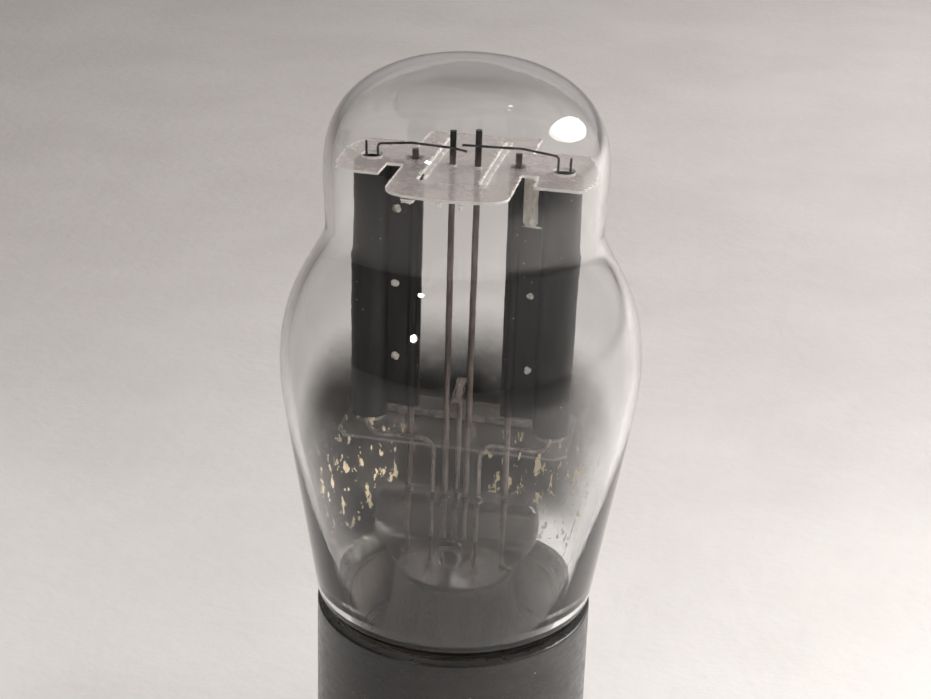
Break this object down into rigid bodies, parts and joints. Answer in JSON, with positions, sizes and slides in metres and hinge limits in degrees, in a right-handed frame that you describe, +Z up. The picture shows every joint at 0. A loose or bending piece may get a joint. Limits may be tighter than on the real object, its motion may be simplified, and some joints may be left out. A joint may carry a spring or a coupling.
{
  "type": "vacuum tube",
  "caption": "Full-wave rectifier vacuum tube: shouldered glass bulb with a smoky getter mirror, two black anodes, mica spacers and a black four-pin base.",
  "frame": {"origin": "on the tube's axis, at the level of the four pin tips", "axes": "+Z up the tube towards its crown; X from the left anode to the right one; the two large filament pins are on the -Y side, the front"},
  "size_m": [0.0441, 0.044, 0.114],
  "materials": {
    "bakelite": "black moulded phenolic with a satin sheen",
    "cement": "dull brown baked basing cement",
    "plated_pin": "nickel-plated brass, lightly scratched",
    "solder": "dull tin-lead solder",
    "bulb_glass": "clear blown soda-lime glass, with a smoky mirror film inside the lower part",
    "stem_glass": "clear lead glass, fire-polished",
    "carbonised_nickel": "matte black carbonised nickel sheet",
    "bright_nickel": "bare nickel ribbon",
    "nickel": "oxidised nickel wire",
    "mica": "milky sheet mica with bright cut edges",
    "spring_wire": "dark spring wire",
    "filament_coating": "chalky white oxide coating",
    "tail_wire": "copper-clad lead wire"
  },
  "bodies": {
    "root": {"base_shell": "bakelite", "base_cement": "cement", "left_filament_pin": "plated_pin", "right_filament_pin": "plated_pin", "left_anode_pin": "plated_pin", "right_anode_pin": "plated_pin", "pin_solder": "solder", "bulb": "bulb_glass", "stem_flare": "stem_glass", "stem_press": "stem_glass", "exhaust_tube": "stem_glass", "left_anode": "carbonised_nickel", "right_anode": "carbonised_nickel", "left_anode_welds": "bright_nickel", "right_anode_welds": "bright_nickel", "left_anode_strap": "bright_nickel", "right_anode_strap": "bright_nickel", "left_anode_rod": "nickel", "right_anode_rod": "nickel", "left_centre_rod": "nickel", "right_centre_rod": "nickel", "top_mica": "mica", "bottom_mica": "mica", "left_spring_hook": "spring_wire", "right_spring_hook": "spring_wire", "left_filament": "filament_coating", "right_filament": "filament_coating", "filament_link": "bright_nickel", "left_filament_lead": "nickel", "right_filament_lead": "nickel", "getter_wire": "nickel", "getter_cup": "bright_nickel", "left_filament_tail": "tail_wire", "right_filament_tail": "tail_wire", "left_anode_tail": "tail_wire", "right_anode_tail": "tail_wire"}
  },
  "joints": []
}
